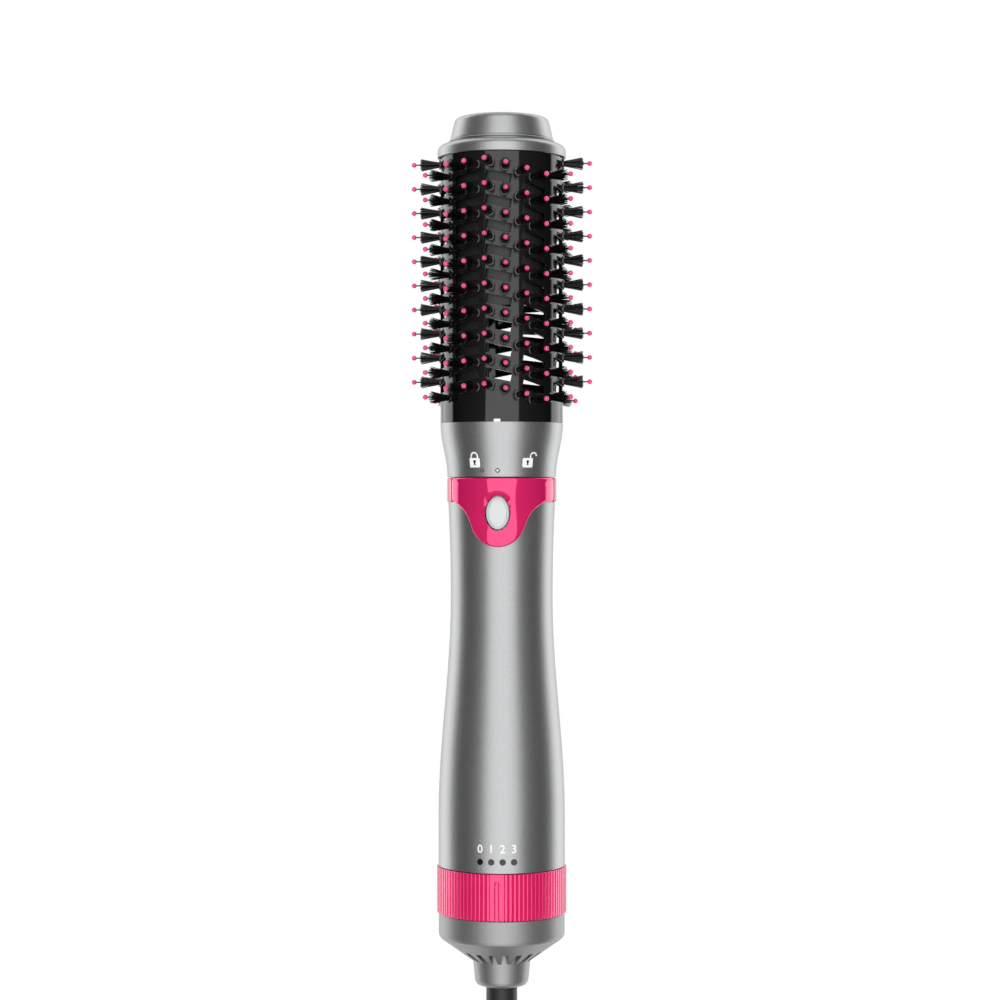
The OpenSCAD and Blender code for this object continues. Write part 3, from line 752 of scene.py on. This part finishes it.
def rounded_loop(half_x, low_y, high_y, corner, per_corner=8):
    """A loop with round corners as (x, y, and the way out at that place)."""
    points = []
    for cx, cy, start in ((half_x - corner, high_y - corner, 0),
                          (corner - half_x, high_y - corner, 90),
                          (corner - half_x, low_y + corner, 180),
                          (half_x - corner, low_y + corner, 270)):
        for k in range(per_corner + 1):
            a = math.radians(start + 90 * k / per_corner)
            x, y = math.cos(a), math.sin(a)
            points.append((cx + corner * x, cy + corner * y, x, y))
    return points


def strap():
    """The strap round the folded cord."""
    (_, y0, z0), (x1, y1, z1) = [[v / MM for v in corner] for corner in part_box("hank_tie")]
    middle, half = (z0 + z1) / 2, (z1 - z0) / 2
    section = [  # thickness and height
        (0, half - 0.3), (0.1, half), (1.2, half), (STRAP_THICK, half - 0.3),
        (STRAP_THICK, 0.3 - half), (1.2, -half), (0.1, -half), (0, 0.3 - half),
    ]
    loop = rounded_loop(x1 - STRAP_THICK, y0 + STRAP_THICK, y1 - STRAP_THICK, STRAP_CORNER)
    points = [(x + nx * (o - STRAP_SINK), y + ny * (o - STRAP_SINK), middle + h)
              for x, y, nx, ny in loop for o, h in section]
    return points, hoop(len(loop), len(section))


piece("hank_strap", *strap(), dark_plastic, "cord", slot="dark_plastic", stands_for=["hank_tie"],
      sharp=50)

PLUG_STEPS = 64
PLUG_STATIONS = [  # height, half width, half depth
    (-420.0, 4.6, 4.6), (-420.3, 5.2, 5.2), (-421.2, 5.5, 5.5), (-425, 6.4, 5.9),
    (-430, 8.6, 6.9), (-436, 12.0, 8.6), (-440, 14.4, 10.0), (-444.5, 16.8, 12.0),
    (-446.2, 17.5, 12.7), (-448, 17.8, 13.0), (-450, 17.3, 12.5), (-450.8, 17.3, 12.5),
    (-452, 17.8, 13.0), (-456.6, 17.8, 13.0), (-457.6, 17.4, 12.6), (-458.0, 16.8, 12.0),
]


def plug_moulding():
    points = [(a * math.cos(t), b * math.sin(t), z)
              for z, a, b in PLUG_STATIONS for t in full_turn(PLUG_STEPS)]
    return points, capped(len(PLUG_STATIONS), PLUG_STEPS)


piece("plug_moulding", *plug_moulding(), pvc, "cord", slot="cord_pvc", stands_for=["plug_body"],
      sharp=40)

# ---------------------------------------------------------------- printed marks

PRINT_LIFT, OVERPRINT_LIFT, LONGEST_EDGE = 0.05, 0.09, 0.55
PRINT_SLOTS = {white_print: "pearl_button", black_print: "black_gloss",
               dark_plastic: "black_gloss"}


def wrapped_print(name, flat, degrees, height, surface, look, body, lift=PRINT_LIFT):
    """Lays a flat mesh of (x, z) on a round surface whose radius is surface(z)."""
    for _ in range(4):
        long_edges = [e for e in flat.edges if e.calc_length() > LONGEST_EDGE]
        if long_edges:
            bmesh.ops.subdivide_edges(flat, edges=long_edges, cuts=1)
            bmesh.ops.triangulate(flat, faces=flat.faces)
    points = []
    flat.verts.ensure_lookup_table()
    for v in flat.verts:
        z = height + v.co.y
        r = surface(z) + lift
        points.append(around(r, degrees + math.degrees(v.co.x / r), z))
    faces = [tuple(v.index for v in f.verts) for f in flat.faces]
    flat.free()
    return piece(name, points, faces, look, body, slot=PRINT_SLOTS[look], sharp=80, sort=False)


def outlines_mesh(outlines):
    flat = bmesh.new()
    for outline in outlines:
        flat.faces.new([flat.verts.new((x, z, 0)) for x, z in outline])
    bmesh.ops.triangulate(flat, faces=flat.faces)
    flat.verts.index_update()
    return flat


def digit_mesh(text):
    font = bpy.data.curves.new("digit", "FONT")
    font.body, font.size, font.align_x, font.resolution_u = text, DIGIT_SIZE, "CENTER", 3
    font.offset = DIGIT_BOLD
    holder = bpy.data.objects.new("digit", font)
    scene.collection.objects.link(holder)
    seen = holder.evaluated_get(bpy.context.evaluated_depsgraph_get())
    mesh = bpy.data.meshes.new_from_object(seen)
    bpy.data.objects.remove(holder)
    flat = bmesh.new()
    flat.from_mesh(mesh)
    bpy.data.meshes.remove(mesh)
    return flat


def circle(x, z, r):
    return [(x + r * math.cos(a), z + r * math.sin(a)) for a in full_turn(24)]


def arc_band(x, z, inner, outer, start, end, steps=20):
    """Part of a flat ring between two angles in degrees."""
    turn = [math.radians(start + (end - start) * k / steps) for k in range(steps + 1)]
    return ([(x + outer * math.cos(a), z + outer * math.sin(a)) for a in turn]
            + [(x + inner * math.cos(a), z + inner * math.sin(a)) for a in reversed(turn)])


def rectangle(x0, z0, x1, z1):
    return [(x0, z0), (x1, z0), (x1, z1), (x0, z1)]


SHACKLE_IN, SHACKLE_OUT, SHACKLE_FOOT, SHACKLE_Z = 1.15, 1.8, 3.95, 4.8
PADLOCK_BODY = [(-2.45, 0.3), (-2.25, 0), (2.25, 0), (2.45, 0.3), (2.45, 3.75), (2.25, 4.0),
                (-2.25, 4.0), (-2.45, 3.75)]


def padlock(shift):
    """A plain padlock: a body, and a shackle moved sideways when it is open."""
    shackle = arc_band(shift, SHACKLE_Z, SHACKLE_IN, SHACKLE_OUT, 0, 180)
    legs = [rectangle(shift + side * SHACKLE_IN, SHACKLE_FOOT,
                      shift + side * SHACKLE_OUT, SHACKLE_Z) for side in (-1, 1)]
    return [PADLOCK_BODY, shackle] + (legs[:1] if shift else legs)


KEYHOLE = [circle(0, 2.5, 0.62), [(-0.26, 2.2), (0.26, 2.2), (0.45, 1.0), (-0.45, 1.0)]]
DIAMOND = [(0, -1.2), (1.2, 0), (0, 1.2), (-1.2, 0)]
SMALL_DIAMOND = [(x * 0.5, z * 0.5) for x, z in DIAMOND]
RING_HALVES = [arc_band(0, 0, 0.5, 0.85, 0, 180), arc_band(0, 0, 0.5, 0.85, 180, 360)]
POINTER_BAR = rectangle(-1.4, -0.6, 1.4, 0.6)

DIGIT_SIZE, DIGIT_BOLD, DIGIT_Z = 5.0, 0.07, -105.6
DOT_ANGLES = (-15.25, -5.1, 5.1, 15.25)
PADLOCK_Z, POINTER_Z, LINE_Z = 57.1, 55.8, 77.0
LOCKED_AT, OPEN_AT, RING_MARK_AT, OPEN_SHIFT = -24.2, 31.6, -16.2, 2.6
COLLAR_MARKS = [  # name, outlines, degrees, height, look, lift
    ("mark_locked", padlock(0), LOCKED_AT, PADLOCK_Z, white_print, PRINT_LIFT),
    ("keyhole_locked", KEYHOLE, LOCKED_AT, PADLOCK_Z, black_print, OVERPRINT_LIFT),
    ("mark_open", padlock(OPEN_SHIFT), OPEN_AT, PADLOCK_Z, white_print, PRINT_LIFT),
    ("keyhole_open", KEYHOLE, OPEN_AT, PADLOCK_Z, black_print, OVERPRINT_LIFT),
    ("mark_pointer", [DIAMOND], 0, POINTER_Z, black_print, PRINT_LIFT),
    ("mark_pointer_middle", [SMALL_DIAMOND], 0, POINTER_Z, white_print, OVERPRINT_LIFT),
    ("mark_ring", RING_HALVES, RING_MARK_AT, POINTER_Z, dark_plastic, PRINT_LIFT),
]

for text, degrees in zip("0123", DOT_ANGLES):
    wrapped_print(f"digit_{text}", digit_mesh(text), degrees, DIGIT_Z, handle_r, white_print,
                  "handle")
for name, outlines, degrees, height, look, lift in COLLAR_MARKS:
    wrapped_print(name, outlines_mesh(outlines), degrees, height, collar_r, look, "head", lift)
wrapped_print("mark_line", outlines_mesh([POINTER_BAR]), 0, LINE_Z, barrel_r, white_print, "head")

# ---------------------------------------------------------------- cord

LEAD_ROUTE = [
    (0, 0, -208), (0, 0, -214), (0.8, -0.7, -222), (3.1, -2.6, -229), (6.7, -5.7, -235),
    (10.5, -9, -239.5), (14.3, -12.3, -244), (17.9, -15.4, -250), (20.2, -17.3, -257),
    (21, -18, -265),
]
TAIL_ROUTE = [
    (21, 20, -356), (21, 20, -360), (20.2, 19.3, -368), (18, 17.2, -375), (14.4, 13.7, -381),
    (10.5, 10, -386), (6.6, 6.3, -391), (3, 2.8, -397), (0.8, 0.7, -404), (0, 0, -412),
    (0, 0, -420),
]
CORD_R = 3.5
HANK_TOP, HANK_RUN, HANK_TURNS, HANK_PITCH, HANK_Y = -268, 88, 5, 7.2, -18
FOLD_R, HANK_PINCH = 21, 11
RUN_STEPS, FOLD_STEPS = 8, 6


def pinched(u):
    """Half the width of the hank at a share of a run: the strap draws its middle in."""
    return FOLD_R - HANK_PINCH * math.sin(math.pi * u) ** 2


def hank_turn():
    """Points (x, z, share of the turn) of one turn: down on the right and up on the left."""
    fold = math.pi * FOLD_R
    whole, done, out = 2 * (HANK_RUN + fold), 0, []
    for side, first_z, final_z in ((1, HANK_TOP, HANK_TOP - HANK_RUN),
                                   (-1, HANK_TOP - HANK_RUN, HANK_TOP)):
        for k in range(RUN_STEPS):
            u = k / RUN_STEPS
            out.append((side * pinched(u), first_z + (final_z - first_z) * u,
                        (done + HANK_RUN * u) / whole))
        done += HANK_RUN
        for k in range(FOLD_STEPS):
            u = k / FOLD_STEPS
            a = math.pi * u
            out.append((side * FOLD_R * math.cos(a), final_z - side * FOLD_R * math.sin(a),
                        (done + fold * u) / whole))
        done += fold
    return out


route = list(LEAD_ROUTE)
for turn in range(HANK_TURNS):
    route += [(x, HANK_Y + HANK_PITCH * (turn + share), z) for x, z, share in hank_turn()]
last_y = HANK_Y + HANK_PITCH * HANK_TURNS
for k in range(RUN_STEPS):
    u = k / RUN_STEPS
    route.append((pinched(u), last_y + (TAIL_ROUTE[0][1] - last_y) * u, HANK_TOP - HANK_RUN * u))
route += TAIL_ROUTE

cord_curve = bpy.data.curves.new("mains_cord", "CURVE")
cord_curve.dimensions = "3D"
cord_curve.resolution_u = 6
cord_curve.bevel_depth = CORD_R * MM
cord_curve.bevel_resolution = 4
cord_curve.use_fill_caps = True
spline = cord_curve.splines.new("BEZIER")
spline.bezier_points.add(len(route) - 1)
for point, at in zip(spline.bezier_points, route):
    point.co = Vector(at) * MM
    point.handle_left_type = point.handle_right_type = "AUTO"
cord_curve.materials.append(pvc)
mains_cord = bpy.data.objects.new("mains_cord", cord_curve)
scene.collection.objects.link(mains_cord)
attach(mains_cord, "cord")
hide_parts("cord_lead", "cord_hank", "cord_tail")

# ---------------------------------------------------------------- stage

FLOOR_HALF, FLOOR_Z = 9, -0.5

floor_mesh = bpy.data.meshes.new("floor")
floor_corners = rectangle(-FLOOR_HALF, -FLOOR_HALF, FLOOR_HALF, FLOOR_HALF)
floor_mesh.from_pydata([(x, y, FLOOR_Z) for x, y in floor_corners], [], [(0, 1, 2, 3)])
floor = bpy.data.objects.new("floor", floor_mesh)
floor.visible_glossy = floor.visible_diffuse = False
scene.collection.objects.link(floor)
floor_look = bpy.data.materials.new("floor_white")
floor_look.use_nodes = True
tree = floor_look.node_tree
tree.nodes.clear()
glow = tree.nodes.new("ShaderNodeEmission")
tree.links.new(glow.outputs[0], tree.nodes.new("ShaderNodeOutputMaterial").inputs["Surface"])
floor_mesh.materials.append(floor_look)

# Studio light, by direction: a tall soft box in front, dim sides and a bright sweep behind.
# Each is a list of (degrees, strength) stops, away from the front or above the horizon.
LIGHT_TURN = CAMERA_TURN + math.radians(0.5)
BOX_AWAY = [(0, 1.95), (30.5, 1.95), (32, 0.0), (180, 0.0)]
BOX_RISE = [(-90, 0), (-62, 0), (-52, 1), (46, 1), (56, 0), (90, 0)]
ROOM_AWAY = [(0, 0.26), (34, 0.26), (100, 0.05), (104, 0.05), (109, 2.4), (138, 2.4), (150, 1.0),
             (180, 1.0)]
ROOM_RISE = [(-90, 0.8), (-40, 1), (50, 1), (75, 0.9), (90, 0.9)]
TOP_RISE = [(-90, 0), (62, 0), (80, 0.6), (90, 0.6)]
BACKGROUND = 1.0  # what the camera sees behind the brush

world = bpy.data.worlds.new("studio")
scene.world = world
world.use_nodes = True
tree = world.node_tree
tree.nodes.clear()
nodes, links = tree.nodes, tree.links


def calc(operation, *values):
    """A maths node on numbers or sockets."""
    n = nodes.new("ShaderNodeMath")
    n.operation = operation
    for i, v in enumerate(values):
        if isinstance(v, (int, float)):
            n.inputs[i].default_value = v
        else:
            links.new(v, n.inputs[i])
    return n.outputs[0]


def ramp(value, stops):
    """Straight lines between (value, result) stops."""
    low, high = stops[0][0], stops[-1][0]
    top = max(r for _, r in stops)
    n = nodes.new("ShaderNodeValToRGB")
    links.new(calc("DIVIDE", calc("SUBTRACT", value, low), high - low), n.inputs[0])
    e = n.color_ramp.elements
    while len(e) < len(stops):
        e.new(0.5)
    for k, (v, r) in enumerate(stops):
        e[k].position = (v - low) / (high - low)
        e[k].color = [r / top] * 3 + [1]
    return calc("MULTIPLY", n.outputs[0], top)


turned_way = nodes.new("ShaderNodeVectorRotate")
turned_way.rotation_type = "Z_AXIS"
turned_way.inputs["Angle"].default_value = -LIGHT_TURN
links.new(nodes.new("ShaderNodeTexCoord").outputs["Generated"], turned_way.inputs["Vector"])
way = nodes.new("ShaderNodeSeparateXYZ")
links.new(turned_way.outputs[0], way.inputs[0])
sideways = calc("ARCTAN2", way.outputs[0], calc("MULTIPLY", way.outputs[1], -1))
away = calc("MULTIPLY", calc("ABSOLUTE", sideways), 180 / math.pi)
rise = calc("MULTIPLY", calc("ARCSINE", way.outputs[2]), 180 / math.pi)
box_light = calc("MULTIPLY", ramp(away, BOX_AWAY), ramp(rise, BOX_RISE))
room_light = calc("MULTIPLY", ramp(away, ROOM_AWAY), ramp(rise, ROOM_RISE))
studio = calc("ADD", calc("ADD", box_light, room_light), ramp(rise, TOP_RISE))
blend = nodes.new("ShaderNodeMix")
blend.data_type = "FLOAT"
links.new(nodes.new("ShaderNodeLightPath").outputs["Is Camera Ray"], blend.inputs[0])
links.new(studio, blend.inputs[NUMBER_A])
blend.inputs[NUMBER_B].default_value = BACKGROUND
shine = nodes.new("ShaderNodeBackground")
shine.inputs["Color"].default_value = (1, 1, 1, 1)
links.new(blend.outputs[0], shine.inputs["Strength"])
links.new(shine.outputs[0], nodes.new("ShaderNodeOutputWorld").inputs["Surface"])
